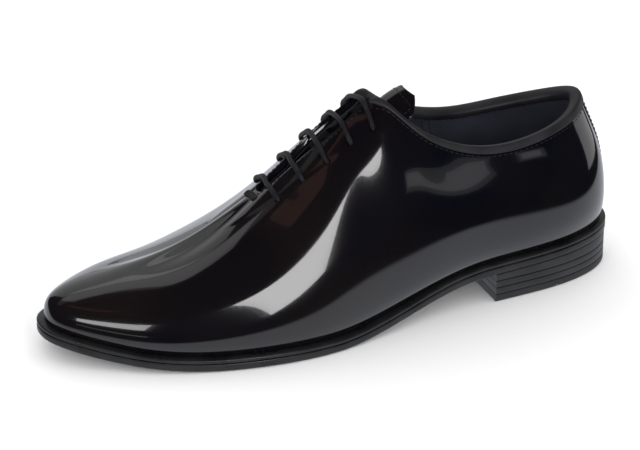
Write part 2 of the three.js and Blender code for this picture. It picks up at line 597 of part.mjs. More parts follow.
// A tucked end: it runs along inside the lining, in stations u and rows v.
const tucked = (places) => places.map(([u, v]) => beneath(skin(wrap(u), v), LACE_UNDER + 1));
const TUCKED_OUTER = [[8.1, 3.3], [7.8, 3.55], [7.4, 3.8], [7, 4]];
const TUCKED_INNER = [[-3.1, 4], [-3.7, 3.95], [-4.3, 3.95], [-4.9, 3.92]];
function lacePath() {
  const points = [];
  for (let row = LACE_ROWS - 1; row >= 0; row--) {
    const outerFirst = (LACE_ROWS - 1 - row) % 2 === 0;
    const [from, to] = outerFirst ? [outerHoles[row], innerHoles[row]] : [innerHoles[row], outerHoles[row]];
    if (points.length) {
      const last = (outerFirst ? outerHoles : innerHoles)[row + 1];
      const under = (t) => beneath(last, LACE_UNDER).lerp(beneath(from, LACE_UNDER), t);
      points.push(under(0.25), under(0.75));
    }
    points.push(...barPoints(from, to));
  }
  return points;
}
function tube(points, diameter, sides, count) {
  const section = new THREE.Shape();
  section.absarc(0, 0, diameter / 2, 0, 2 * Math.PI);
  const path = new THREE.CatmullRomCurve3(points, false, "centripetal");
  return new THREE.ExtrudeGeometry(section, {
    steps: count,
    curveSegments: sides,
    bevelEnabled: false,
    extrudePath: path,
  });
}
function buildLace() {
  const start = tucked(TUCKED_OUTER);
  const end = tucked(TUCKED_INNER);
  add(rearfoot, "lace", tube([...start, ...lacePath(), ...end], LACE, 3, 180), CORD);
  const ends = [[start[0], start[1]], [end.at(-1), end.at(-2)]];
  ends.forEach(([tip, before], i) => {
    const way = tip.clone().sub(before).normalize();
    const aglet = new THREE.CylinderGeometry(LACE / 2 - 0.1, LACE / 2 - 0.3, AGLET_LENGTH, 8);
    const mesh = add(rearfoot, `aglet_${i + 1}`, aglet, CORD);
    mesh.quaternion.setFromUnitVectors(UP, way.clone().negate());
    mesh.position.copy(tip).addScaledVector(way, AGLET_LENGTH / 2 + GAP);
  });
}

buildUpper();
buildLining();
buildStiffeners();
buildEyelets();
buildBinding();
buildBackStrip();
buildThroatBar();
buildSole(buildHeel());
buildTongue();
buildLace();

const footprint = new THREE.Box3().setFromObject(shoe);
const middle = footprint.getCenter(new THREE.Vector3());
shoe.position.set(-middle.x, -middle.y, -footprint.min.z);

export default shoe;
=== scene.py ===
import math

import bmesh
import bpy
import numpy as np
from mathutils import Matrix, Vector


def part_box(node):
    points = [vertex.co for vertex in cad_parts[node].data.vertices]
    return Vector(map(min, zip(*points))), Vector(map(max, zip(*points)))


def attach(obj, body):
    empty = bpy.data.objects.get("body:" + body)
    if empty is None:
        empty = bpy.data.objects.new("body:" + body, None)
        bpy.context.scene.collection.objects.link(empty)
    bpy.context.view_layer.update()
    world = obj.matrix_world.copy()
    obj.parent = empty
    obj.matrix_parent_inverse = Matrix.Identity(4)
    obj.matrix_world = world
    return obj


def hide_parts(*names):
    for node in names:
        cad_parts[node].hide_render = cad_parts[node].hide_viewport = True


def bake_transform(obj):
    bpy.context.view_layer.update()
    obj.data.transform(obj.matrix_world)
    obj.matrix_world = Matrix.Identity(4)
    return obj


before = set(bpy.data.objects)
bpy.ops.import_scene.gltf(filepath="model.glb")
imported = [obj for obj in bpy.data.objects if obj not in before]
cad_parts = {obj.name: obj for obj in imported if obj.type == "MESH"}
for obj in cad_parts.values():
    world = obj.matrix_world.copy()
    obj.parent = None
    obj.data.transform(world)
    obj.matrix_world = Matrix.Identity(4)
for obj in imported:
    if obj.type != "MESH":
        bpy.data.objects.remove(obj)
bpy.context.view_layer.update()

# ---- Camera, floor and light -------------------------------------------------------------------------
# A camera ahead of the outer side, a plain pale floor, and soft boxes that draw the highlights on the
# patent leather: a tall leaning window for the long streak, a window and a strip for the toe, a faint
# panel for the quarter, a wide wall and a glow behind the shoe, a warm strip beside the lace opening,
# and a card each for the tongue and the heel.
camera_data = bpy.data.cameras.new("camera")
camera_data.lens = 169.6
camera_data.sensor_width = 36
camera = bpy.data.objects.new("camera", camera_data)
bpy.context.scene.collection.objects.link(camera)
camera.location = (0.50995, 1.23636, 0.71464)
looking = Vector((-0.3375, -0.8272, -0.4493))
camera.rotation_euler = looking.to_track_quat("-Z", "Y").to_euler()
bpy.context.scene.camera = camera

floor_mesh = bmesh.new()
bmesh.ops.create_circle(floor_mesh, cap_ends=True, segments=64, radius=9)
bmesh.ops.translate(floor_mesh, verts=floor_mesh.verts, vec=(0, 0, -0.0004))
floor_data = bpy.data.meshes.new("floor")
floor_mesh.to_mesh(floor_data)
floor = bpy.data.objects.new("floor", floor_data)
bpy.context.scene.collection.objects.link(floor)

# The floor is white to the eye and in diffuse light. In reflections only the part close to the shoe is
# pale, as on a small white table in a dark studio.
pale_floor = bpy.data.materials.new("pale_floor")
pale_floor.use_nodes = True
floor_nodes, floor_links = pale_floor.node_tree.nodes, pale_floor.node_tree.links
paper = floor_nodes["Principled BSDF"]
paper.inputs["Base Color"].default_value = (0.93, 0.93, 0.93, 1)
paper.inputs["Roughness"].default_value = 0.9
paper.inputs["Specular IOR Level"].default_value = 0
glow = floor_nodes.new("ShaderNodeEmission")
glow.inputs["Color"].default_value = (0.9, 0.93, 1, 1)
where = floor_nodes.new("ShaderNodeTexCoord")
table = floor_nodes.new("ShaderNodeMapping")
table.vector_type = "TEXTURE"
table.inputs["Location"].default_value = (-0.06, -0.5, 0)
table.inputs["Scale"].default_value = (0.4, 0.68, 1)
away = floor_nodes.new("ShaderNodeVectorMath")
away.operation = "LENGTH"
fade = floor_nodes.new("ShaderNodeMapRange")
fade.interpolation_type = "SMOOTHSTEP"
fade.inputs["From Min"].default_value = 0.95
fade.inputs["From Max"].default_value = 1.01
fade.inputs["To Min"].default_value = 0.62
fade.inputs["To Max"].default_value = 0.01
seen = floor_nodes.new("ShaderNodeLightPath")
either = floor_nodes.new("ShaderNodeMixShader")
floor_links.new(where.outputs["Object"], table.inputs["Vector"])
floor_links.new(table.outputs["Vector"], away.inputs[0])
floor_links.new(away.outputs["Value"], fade.inputs["Value"])
floor_links.new(fade.outputs["Result"], glow.inputs["Strength"])
floor_links.new(seen.outputs["Is Glossy Ray"], either.inputs["Fac"])
floor_links.new(paper.outputs["BSDF"], either.inputs[1])
floor_links.new(glow.outputs["Emission"], either.inputs[2])
floor_links.new(either.outputs["Shader"], floor_nodes["Material Output"].inputs["Surface"])
floor_data.materials.append(pale_floor)

world = bpy.data.worlds.new("studio")
world.use_nodes = True
bpy.context.scene.world = world
sky, sky_links = world.node_tree.nodes, world.node_tree.links
room = sky["Background"]
room.inputs["Color"].default_value = (1, 1, 1, 1)
room.inputs["Strength"].default_value = 1.05
dark = sky.new("ShaderNodeBackground")
dark.inputs["Strength"].default_value = 0.05
sky_way = sky.new("ShaderNodeTexCoord")
sky_parts = sky.new("ShaderNodeSeparateXYZ")
sky_tint = sky.new("ShaderNodeValToRGB")
sky_tint.color_ramp.elements[0].position = 0.3
sky_tint.color_ramp.elements[1].position = 0.75
sky_tint.color_ramp.elements[0].color = (0.12, 0.2, 0.42, 1)
sky_tint.color_ramp.elements[1].color = (0.42, 0.27, 0.2, 1)
sky_links.new(sky_way.outputs["Generated"], sky_parts.inputs["Vector"])
sky_links.new(sky_parts.outputs["Z"], sky_tint.inputs["Fac"])
sky_links.new(sky_tint.outputs["Color"], dark.inputs["Color"])
sky_path = sky.new("ShaderNodeLightPath")
sky_mix = sky.new("ShaderNodeMixShader")
sky_links.new(sky_path.outputs["Is Glossy Ray"], sky_mix.inputs["Fac"])
sky_links.new(room.outputs["Background"], sky_mix.inputs[1])
sky_links.new(dark.outputs["Background"], sky_mix.inputs[2])
sky_links.new(sky_mix.outputs["Shader"], sky["World Output"].inputs["Surface"])
bpy.context.scene.view_settings.view_transform = "Standard"


def soft_box(name, azimuth, elevation, across, tall, brightness, distance=2.0, lean=0.0, colour=(1, 1, 1)):
    """A rectangular light that looks at the shoe, sized and leaned by angles, in degrees."""
    data = bpy.data.lights.new(name, "AREA")
    data.shape = "RECTANGLE"
    data.size = 2 * distance * math.tan(math.radians(across / 2))
    data.size_y = 2 * distance * math.tan(math.radians(tall / 2))
    data.color = colour
    data.energy = brightness * math.pi * data.size * data.size_y
    light = bpy.data.objects.new(name, data)
    bpy.context.scene.collection.objects.link(light)
    a, e = math.radians(azimuth), math.radians(elevation)
    way = Vector((math.cos(a) * math.cos(e), math.sin(a) * math.cos(e), math.sin(e)))
    light.location = way * distance + Vector((0, 0, 0.04))
    upright = (-way).to_track_quat("-Z", "Y").to_matrix()
    light.rotation_euler = (upright @ Matrix.Rotation(math.radians(lean), 3, "Z")).to_euler()


soft_box("tall_window", 90, 22.5, 11.6, 33, 6.2, lean=26)
soft_box("toe_window", 40, 25, 24, 11, 4.0)
soft_box("toe_strip", 41, 4, 26, 1.6, 1.2)
soft_box("quarter_panel", 127, 9.5, 13, 8, 0.2)
soft_box("quarter_panel_core", 126, 9.5, 9, 5, 0.3)
soft_box("back_wall", 256, 26, 66, 56, 0.42)
soft_box("back_glow", 264, 62, 90, 14, 0.12)
soft_box("warm_strip", 8, 57.5, 30, 2.2, 0.2, colour=(1, 0.5, 0.36))
soft_box("tongue_card", 288, 56, 36, 18, 0.45)
soft_box("heel_card", 184, 6, 30, 24, 0.7, distance=0.5)

# ---- Upper -------------------------------------------------------------------------------------------
# One cut of black patent leather, drawn over the last and closed with no seam but the one at the back.
# It is about 1.3 mm thick, and the lacing stays behind it show faintly as a raised field.
STATIONS = 24
ROWS = 5
SOLE_STACK = 6.2
GAP = 0.3
LEATHER = 1.3
WALL = 3.8

# Each line goes up the last from the welt to the top edge, in x, y and height above the welt, in mm
# from the back of the sole. The lines go round from the toe by the outer side.
LAST = np.array([
    [[300.5, -1, 0], [298.5, -1, 8.5], [288, -1.5, 15], [262, -2, 20.5], [228, -1.5, 29.5], [190.6, 0.3, 50.3]],
    [[295, 12, 0], [293.5, 13.5, 7.5], [283, 12, 15.5], [259, 9, 22], [226, 6, 30.3], [190.2, 2.9, 52.3]],
    [[274, 27.5, 0], [273.5, 29.5, 8], [264, 26, 19.5], [244, 19.5, 28], [216, 12, 40.5], [186.8, 5.6, 60]],
    [[248, 40.5, 0], [247.5, 43, 9], [239, 38.5, 23.5], [223, 29.5, 36], [200, 17.5, 53], [177, 6.9, 71.6]],
    [[215, 49, 0], [214, 51.5, 10], [208, 47, 27], [196, 37, 44.5], [181, 22, 65.5], [165.5, 8.6, 82.2]],
    [[183, 51.2, 0], [182, 53.5, 11], [178, 50, 30], [170, 40.5, 53.5], [161, 25, 77], [153.8, 10.6, 90.8]],
    [[158, 47.7, 0], [157, 50.5, 11], [154.5, 48.5, 31], [150, 40.5, 57], [145, 26, 84], [139.8, 10.4, 101.3]],
    [[133, 42, 0], [132.5, 45.5, 9.5], [131, 45, 28.5], [130, 39.5, 53.5], [129.5, 29.5, 79.5],
     [129.5, 15, 99.3]],
    [[104, 36, 0], [104, 40, 8], [104, 41, 25], [106, 37.5, 44], [109.5, 31, 63], [113, 24.5, 77.5]],
    [[72, 32.4, 0], [71.5, 36, 10.5], [71.5, 36.5, 24.5], [74, 34.5, 37.5], [79, 30.5, 52], [83, 27, 61.5]],
    [[36, 28, 0], [34, 31.5, 11.5], [34, 32, 24.5], [38, 30.5, 37.5], [46, 28, 51.5], [53, 25, 60.5]],
    [[11, 16.3, 0], [9.6, 18, 11.5], [10.2, 18, 25.5], [14, 17.5, 40.5], [21, 16, 55], [27.5, 14.5, 64]],
    [[3.2, 0, 0], [3, 0, 11.5], [3.6, 0, 25.5], [6.6, 0, 40.5], [12.4, 0, 55.5], [17.5, 0, 68]],
    [[11, -17, 0], [9.6, -18, 11.5], [10.2, -18, 25.5], [14, -17.5, 40.5], [21, -16, 55], [27.5, -14.5, 64]],
    [[36, -29, 0], [34, -32, 11.5], [34, -32, 24.5], [38, -30.5, 36.5], [46, -28, 49.5], [53, -25, 59]],
    [[72, -30, 0], [71.5, -33.5, 10.5], [71.5, -35, 23.5], [74, -33, 36.5], [78, -30, 49.5], [82, -27, 59.5]],
    [[104, -25.5, 0], [104, -30.5, 8], [104, -35.5, 24], [106, -34.5, 42], [109, -29.5, 58],
     [112, -23.5, 73.5]],
    [[133, -26.5, 0], [132.5, -31.5, 9.5], [131, -37.5, 27.5], [130, -37, 49.5], [129.5, -27, 74.5],
     [129, -12, 94]],
    [[158, -32, 0], [157, -36.5, 11], [154, -42, 30], [150, -38, 52], [145, -24.5, 76], [140, -7.5, 95.8]],
    [[183, -40.5, 0], [182, -44, 10], [177, -46, 28], [170, -38, 46], [161, -23, 69.5], [152.5, -5.6, 90]],
    [[215, -48, 0], [214, -50.5, 10], [207, -46, 24], [196, -36, 37.5], [181, -21, 57.5], [165, -3.6, 81.5]],
    [[248, -43.5, 0], [247, -45.5, 9], [237, -40, 19], [222, -31, 28.5], [200, -18, 45.5], [177.5, -3, 70]],
    [[273, -32, 0], [272, -33.5, 8.5], [262, -29, 17.5], [243, -22, 23.5], [216, -13.5, 35.5],
     [187, -3.2, 58.9]],
    [[294.5, -14, 0], [293, -15.5, 7.5], [282, -14, 15], [258, -11, 20], [226, -7, 28.5], [190.2, -2.1, 51.8]],
])

# The heel's middle nail stands 18 mm from the back of the sole, on its centre line.
nail_low, nail_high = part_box("heel_nail_1")
BACK_OF_SOLE = np.array([(nail_low[0] + nail_high[0]) / 2 - 0.018, (nail_low[1] + nail_high[1]) / 2, 0])


def smooth(t):
    t = np.clip(t, 0, 1)
    return t * t * (3 - 2 * t)


def underside(x):
    """Height of the sole's underside over the ground, by the distance from its back, in mm."""
    x = np.asarray(x, float)
    waist = 15.2 * (1 - smooth((x - 76) / 94))
    toe = 12 * (np.maximum(x - 222, 0) / 83) ** 2
    return np.where(x < 76, 15.2 + 2.4 * (76 - x) / 76, waist + toe)


def extended(net):
    return np.concatenate([2 * net[:, :1] - net[:, 1:2], net, 2 * net[:, -1:] - net[:, -2:-1]], axis=1)


wanted = LAST.copy()
wanted[:, :, 2] += underside(LAST[:, :1, 0]) + SOLE_STACK + GAP
net = wanted.copy()
for _ in range(200):
    around = (np.roll(net, 1, 0) + 4 * net + np.roll(net, -1, 0)) / 6
    line = extended(around)
    net += wanted - (line[:, :-2] + 4 * line[:, 1:-1] + line[:, 2:]) / 6
net = extended(net)


def spline_weights(t):
    return [(1 - t) ** 3 / 6, (3 * t**3 - 6 * t**2 + 4) / 6, (-3 * t**3 + 3 * t**2 + 3 * t + 1) / 6, t**3 / 6]


def on_last(u, v):
    """Points of the upper's outside in mm: u counts stations round the shoe, v rows up from the welt."""
    u, v = np.broadcast_arrays(np.asarray(u, float), np.asarray(v, float))
    i = np.floor(u).astype(int)
    j = np.minimum(np.floor(v).astype(int), ROWS - 1)
    across, up = spline_weights(u - i), spline_weights(v - j)
    total = 0
    for k in range(4):
        for m in range(4):
            total = total + (across[k] * up[m])[..., None] * net[(i - 1 + k) % STATIONS, j + m]
    return total


def unit(vectors):
    return vectors / np.maximum(np.linalg.norm(vectors, axis=-1, keepdims=True), 1e-9)


def skin(u, v):
    """Point, outward normal and the way up along the surface."""
    u, v = np.broadcast_arrays(np.asarray(u, float), np.asarray(v, float))
    low, high = np.maximum(v - 0.02, 0), np.minimum(v + 0.02, ROWS)
    rise = unit(on_last(u, high) - on_last(u, low))
    along = on_last(u + 0.02, v) - on_last(u - 0.02, v)
    return on_last(u, v), unit(np.cross(along, rise)), rise


def laid(u, v, depth=0.0, over=0.0):
    """A place depth mm inside the upper's outside, and over mm further up, in mm."""
    point, normal, rise = skin(u, v)
    depth, over = np.asarray(depth, float), np.asarray(over, float)
    return point - depth[..., None] * normal + over[..., None] * rise


def in_frame(points):
    return np.asarray(points) / 1000 + BACK_OF_SOLE


def piece_from(name, bm, material, smooth_angle=40):
    """Turns a bmesh into a piece with one material and smooth shading up to an angle."""
    data = bpy.data.meshes.new(name)
    bm.to_mesh(data)
    bm.free()
    data.materials.append(material)
    piece = bpy.data.objects.new(name, data)
    bpy.context.scene.collection.objects.link(piece)
    data.shade_smooth()
    data.set_sharp_from_angle(angle=math.radians(smooth_angle))
    return piece


def grid_on(bm, columns, rows, place):
    """A grid whose points, from 0 to 1 both ways, are put in place, with its UV map."""
    made = bmesh.ops.create_grid(bm, x_segments=columns, y_segments=rows, size=0.5, calc_uvs=True)["verts"]
    flat = np.array([v.co for v in made]) + 0.5
    for vert, point in zip(made, in_frame(place(flat[:, 0], flat[:, 1]))):
        vert.co = point
    return made


def sheet_mesh(columns, rows, place):
    bm = bmesh.new()
    bm.loops.layers.uv.new("UVMap")
    grid_on(bm, columns, rows, place)
    bmesh.ops.remove_doubles(bm, verts=bm.verts, dist=1e-6)
    return bm


def thicken(piece, thickness, offset=-1):
    wall = piece.modifiers.new("thickness", "SOLIDIFY")
    wall.thickness = thickness / 1000
    wall.offset = offset
    wall.use_even_offset = False


def soften(piece, width, angle=50, segments=2):
    edge = piece.modifiers.new("soft_edge", "BEVEL")
    edge.limit_method = "ANGLE"
    edge.angle_limit = math.radians(angle)
    edge.width = width / 1000
    edge.segments = segments
    edge.use_clamp_overlap = True


def settle(piece):
    """Applies the piece's modifiers to its mesh."""
    bpy.context.view_layer.update()
    graph = bpy.context.evaluated_depsgraph_get()
    made = bpy.data.meshes.new_from_object(piece.evaluated_get(graph))
    piece.modifiers.clear()
    piece.data = made
    made.name = piece.name


def effect_group(name, inputs, outputs):
    group = bpy.data.node_groups.new(name, "ShaderNodeTree")
    for label, kind, value in inputs:
        group.interface.new_socket(label, in_out="INPUT", socket_type=kind).default_value = value
    for label in outputs:
        group.interface.new_socket(label, in_out="OUTPUT", socket_type="NodeSocketFloat")
    return group, group.nodes.new("NodeGroupInput"), group.nodes.new("NodeGroupOutput")


# Slow and fine variation of a hide or a board: a cloudy mask and a grain, both from 0 to 1.
hide_variation, hide_in, hide_out = effect_group(
    "hide_variation",
    [("Cloud Scale", "NodeSocketFloat", 30.0), ("Grain Scale", "NodeSocketFloat", 900.0),
     ("Grain Stretch", "NodeSocketVector", (1, 1, 1))],
    ["Cloud", "Grain"],
)
hide_where = hide_variation.nodes.new("ShaderNodeTexCoord")
hide_cloud = hide_variation.nodes.new("ShaderNodeTexNoise")
hide_cloud.inputs["Detail"].default_value = 3
hide_grain = hide_variation.nodes.new("ShaderNodeTexNoise")
hide_grain.inputs["Detail"].default_value = 2
hide_stretch = hide_variation.nodes.new("ShaderNodeVectorMath")
hide_stretch.operation = "MULTIPLY"
hide_variation.links.new(hide_where.outputs["Object"], hide_stretch.inputs[0])
hide_variation.links.new(hide_in.outputs["Grain Stretch"], hide_stretch.inputs[1])
for texture, scale, result in ((hide_cloud, "Cloud Scale", "Cloud"), (hide_grain, "Grain Scale", "Grain")):
    hide_variation.links.new(hide_in.outputs[scale], texture.inputs["Scale"])
    hide_variation.links.new(texture.outputs["Fac"], hide_out.inputs[result])
hide_variation.links.new(hide_where.outputs["Object"], hide_cloud.inputs["Vector"])
hide_variation.links.new(hide_stretch.outputs["Vector"], hide_grain.inputs["Vector"])


def finish_material(name, dark_tone, light_tone, rough, grain_depth, cloud=30.0, grain=900.0, metallic=0.0,
                    coat=0.0, coat_rough=0.03, sheen=0.0, specular=0.5, stretch=(1, 1, 1)):
    """A surface whose colour and roughness drift slowly and whose grain is raised by grain_depth mm."""
    material = bpy.data.materials.new(name)
    material.use_nodes = True
    nodes, links = material.node_tree.nodes, material.node_tree.links
    shader = nodes["Principled BSDF"]
    shader.inputs["Metallic"].default_value = metallic
    shader.inputs["Coat Weight"].default_value = coat
    shader.inputs["Coat Roughness"].default_value = coat_rough
    shader.inputs["Sheen Weight"].default_value = sheen
    shader.inputs["Specular IOR Level"].default_value = specular
    variation = nodes.new("ShaderNodeGroup")
    variation.node_tree = hide_variation
    variation.inputs["Cloud Scale"].default_value = cloud
    variation.inputs["Grain Scale"].default_value = grain
    variation.inputs["Grain Stretch"].default_value = stretch
    tone = nodes.new("ShaderNodeValToRGB")
    tone.color_ramp.elements[0].position = 0.35
    tone.color_ramp.elements[1].position = 0.65
    tone.color_ramp.elements[0].color = (*dark_tone, 1)
    tone.color_ramp.elements[1].color = (*light_tone, 1)
    links.new(variation.outputs["Cloud"], tone.inputs["Fac"])
    links.new(tone.outputs["Color"], shader.inputs["Base Color"])
    gloss = nodes.new("ShaderNodeMapRange")
    gloss.inputs["From Min"].default_value = 0.3
    gloss.inputs["From Max"].default_value = 0.7
    gloss.inputs["To Min"].default_value = rough[0]
    gloss.inputs["To Max"].default_value = rough[1]
    links.new(variation.outputs["Cloud"], gloss.inputs["Value"])
    links.new(gloss.outputs["Result"], shader.inputs["Roughness"])
    bump = nodes.new("ShaderNodeBump")
    bump.inputs["Strength"].default_value = 1
    bump.inputs["Distance"].default_value = grain_depth / 1000
    links.new(variation.outputs["Grain"], bump.inputs["Height"])
    links.new(bump.outputs["Normal"], shader.inputs["Normal"])
    return material


patent = finish_material("patent_leather", (0.002, 0.002, 0.0035), (0.005, 0.0038, 0.0042), (0.08, 0.14), 0.012,
                         cloud=14, grain=750, coat=1.0, coat_rough=0.015, stretch=(1, 1, 0.4))


def above(x, y):
    """Stations and rows of the place on the upper half of the surface over a point of the plan."""
    us, vs = np.meshgrid(np.arange(0, STATIONS, 0.25), np.arange(2.5, ROWS + 0.01, 0.125))
    points = on_last(us, vs)
    nearest = np.argmin(np.hypot(points[..., 0] - x, points[..., 1] - y))
    u, v = us.flat[nearest], vs.flat[nearest]
    for _ in range(8):
        p = on_last(u, v)
        pu, pv = (on_last(u + 0.01, v) - p) / 0.01, (p - on_last(u, v - 0.01)) / 0.01
        cross = pu[0] * pv[1] - pu[1] * pv[0]
        u += ((x - p[0]) * pv[1] - (y - p[1]) * pv[0]) / cross
        v = min(v + (pu[0] * (y - p[1]) - pu[1] * (x - p[0])) / cross, ROWS)
    return u, v


# Five pairs of holes beside the lacing, from the throat up.
HOLES_OUTER = [above(x, y) for x, y in
               ((186.5, 18), (174, 18.8), (161.8, 20.2), (149.5, 20.2), (138, 21))]
HOLES_INNER = [above(x, y) for x, y in
               ((185, -15), (172.5, -15.5), (160.5, -16), (148.5, -16.5), (137.5, -17.5))]
STAY_ROW = 4.22


def upper_relief(u, v):
    """How far the leather stands over the last, in mm: the stays' field and small pulls at the lacing."""
    side = np.minimum(u, STATIONS - u)
    field = smooth((v - STAY_ROW) / 0.09) * smooth((side - 1.2) / 0.6) * smooth((7.2 - side) / 0.8)
    fold = np.sin(side * 9.0 + 2.2 * v) * smooth((v - 4.3) / 0.3) * smooth((5.0 - v) / 0.2)
    pulls = 0.05 * fold * smooth((side - 6.2) / 0.5) * smooth((8.4 - side) / 0.6)
    return 0.22 * field + pulls


upper = piece_from(
    "upper",
    sheet_mesh(336, 72, lambda s, t: laid(STATIONS * s, ROWS * t, -upper_relief(STATIONS * s, ROWS * t))),
    patent,
)
thicken(upper, LEATHER)
soften(upper, 0.45)

punch_mesh = bmesh.new()
for u, v in HOLES_OUTER + HOLES_INNER:
    point, normal, _ = skin(u, v)
    turn = Vector(normal).to_track_quat("Z", "Y").to_matrix().to_4x4()
    bmesh.ops.create_cone(
        punch_mesh, cap_ends=True, segments=20, radius1=0.0018, radius2=0.0018, depth=0.012,
        matrix=Matrix.Translation(Vector(in_frame(point))) @ turn,
    )
punch = piece_from("punch", punch_mesh, patent)
holes = upper.modifiers.new("lace_holes", "BOOLEAN")
holes.operation = "DIFFERENCE"
holes.object = punch
holes.solver = "EXACT"
settle(upper)
upper.data.set_sharp_from_angle(angle=math.radians(40))
bpy.data.objects.remove(punch)

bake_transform(upper)
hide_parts("upper_toe", "upper_flex", "upper_quarters")

# ---- Lining ------------------------------------------------------------------------------------------
# Dark navy lining leather, sewn to the upper under the binding and left loose below. A seam joins its
# two halves on the inner side of the quarters, with two rows of stitches.
navy = finish_material("lining_leather", (0.022, 0.025, 0.042), (0.034, 0.038, 0.06), (0.5, 0.68), 0.05,
                       cloud=60, grain=1500, sheen=0.15)
LINING = 0.9
lining = piece_from(
    "lining",
    sheet_mesh(240, 48, lambda s, t: laid(STATIONS * s, ROWS * t, np.full_like(s, WALL - LINING))),
    navy,
)
thicken(lining, LINING)
settle(lining)
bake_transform(lining)
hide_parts("lining_toe", "lining_flex", "lining_quarters")

# ---- Topline binding ---------------------------------------------------------------------------------
# A strip of matte calf folded over the topline and glued down, 4 mm deep on both faces, with a full
# round edge where it turns over.
matte_calf = finish_material("matte_calf", (0.0125, 0.012, 0.0145), (0.02, 0.0195, 0.023), (0.38, 0.52), 0.05,
                             cloud=70, grain=1400, specular=0.45)
BINDING_START = 6.38
BINDING_DEPTH = 4.0
fold_outer, fold_inner = -1.35, WALL + 1.35
binding_section = [(fold_outer + 0.75, -BINDING_DEPTH), (fold_outer + 0.25, -BINDING_DEPTH + 0.15)]
binding_section += [(fold_outer, -BINDING_DEPTH + 0.7), (fold_outer - 0.05, -2.2)]
for step in range(9):
    angle = math.pi * step / 8
    middle, reach = (fold_outer + fold_inner) / 2, (fold_inner - fold_outer) / 2
    binding_section.append((middle - reach * math.cos(angle), -0.6 + 1.85 * math.sin(angle) ** 0.8))
binding_section += [(fold_inner + 0.05, -2.2), (fold_inner, -BINDING_DEPTH + 0.7)]
binding_section += [(fold_inner - 0.25, -BINDING_DEPTH + 0.15), (fold_inner - 0.75, -BINDING_DEPTH)]
binding_section += [(WALL + 0.35, -2.0), (WALL + 0.35, 0.25), (-0.35, 0.25), (-0.35, -2.0)]
binding_section.append(binding_section[0])
section_points = np.array(binding_section)


def along_binding(s, t):
    k = np.clip(np.rint(t * (len(section_points) - 1)).astype(int), 0, len(section_points) - 1)
    u = BINDING_START + s * (STATIONS - 2 * BINDING_START)
    slim = 0.55 + 0.45 * smooth(np.minimum(s, 1 - s) * 28)
    depth = WALL / 2 + (section_points[k, 0] - WALL / 2) * (0.86 + 0.14 * slim)
    return laid(u, np.full_like(u, ROWS), depth, section_points[k, 1] * slim)


binding_mesh = sheet_mesh(180, len(section_points) - 1, along_binding)
bmesh.ops.holes_fill(binding_mesh, edges=[e for e in binding_mesh.edges if e.is_boundary])
bmesh.ops.recalc_face_normals(binding_mesh, faces=binding_mesh.faces)
binding = piece_from("topline_binding_strip", binding_mesh, matte_calf, 60)
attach(binding, "rearfoot")
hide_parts("topline_binding")

# ---- Turned edge of the lace opening ------------------------------------------------------------------
# A thin strip of patent leather glued over the raw edges of the facings, between the two ends of the
# binding, that closes the wall round the lace opening.
def along_facings(s, t):
    u = (2 * s - 1) * (BINDING_START + 0.1)
    turn = 2 * math.pi * t
    depth, rise = WALL / 2 + 1.86 * np.cos(turn), -0.35 + 0.62 * np.sin(turn)
    return laid(u % STATIONS, np.full_like(u, ROWS), depth, rise)


turned_mesh = sheet_mesh(200, 12, along_facings)
bmesh.ops.holes_fill(turned_mesh, edges=[e for e in turned_mesh.edges if e.is_boundary])
bmesh.ops.recalc_face_normals(turned_mesh, faces=turned_mesh.faces)
turned_edge = piece_from("turned_edge", turned_mesh, patent, 60)
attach(turned_edge, "rearfoot")

# ---- Stitches on the upper, the lining and the tongue -------------------------------------------------
# Black bonded thread, about 0.45 mm thick, in lockstitch of 8 to the inch. Each stitch lies half sunk in
# the leather: below the binding, along the facings and down the lining seam.
thread = finish_material("bonded_thread", (0.009, 0.009, 0.01), (0.017, 0.017, 0.018), (0.35, 0.5), 0.03,
                         cloud=200, grain=4000)
grey_thread = finish_material("grey_thread", (0.05, 0.05, 0.06), (0.08, 0.08, 0.095), (0.4, 0.55), 0.03,
                              cloud=200, grain=4000)


def sew(name, points, normals, body, pitch=3.0, length=2.3, thick=0.5, lift=0.1, blend=False, yarn=thread):
    """One stitch for each pitch along a line of places in mm, lying along it on the surface."""
    points, normals = np.asarray(points), np.asarray(normals)
    travelled = np.concatenate([[0], np.cumsum(np.linalg.norm(np.diff(points, axis=0), axis=1))])
    bm = bmesh.new()
    for middle in np.arange(pitch, travelled[-1] - pitch / 2, pitch):
        ends = [[np.interp(middle + d, travelled, points[:, k]) for k in range(3)]
                for d in (-length / 2, length / 2)]
        normal = Vector([np.interp(middle, travelled, normals[:, k]) for k in range(3)]).normalized()
        way = (Vector(ends[1]) - Vector(ends[0])).normalized()
        side = normal.cross(way).normalized()
        centre = (Vector(ends[0]) + Vector(ends[1])) / 2 + normal * lift
        turn = Matrix((way, side, way.cross(side))).transposed().to_4x4()
        size = Matrix.Diagonal((length / 2000, thick / 2000, thick / 2000, 1))
        bmesh.ops.create_uvsphere(bm, u_segments=7, v_segments=5, radius=1,
                                  matrix=Matrix.Translation(Vector(in_frame(centre))) @ turn @ size)
    stitches = piece_from(name, bm, yarn, 80)
    if blend:
        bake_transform(stitches)
    else:
        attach(stitches, body)
    return stitches


def below_edge(u, down):
    """Rows of the places down mm under the top edge."""
    speed = np.linalg.norm(on_last(u, ROWS) - on_last(u, ROWS - 0.1), axis=-1) / 0.1
    return ROWS - down / speed


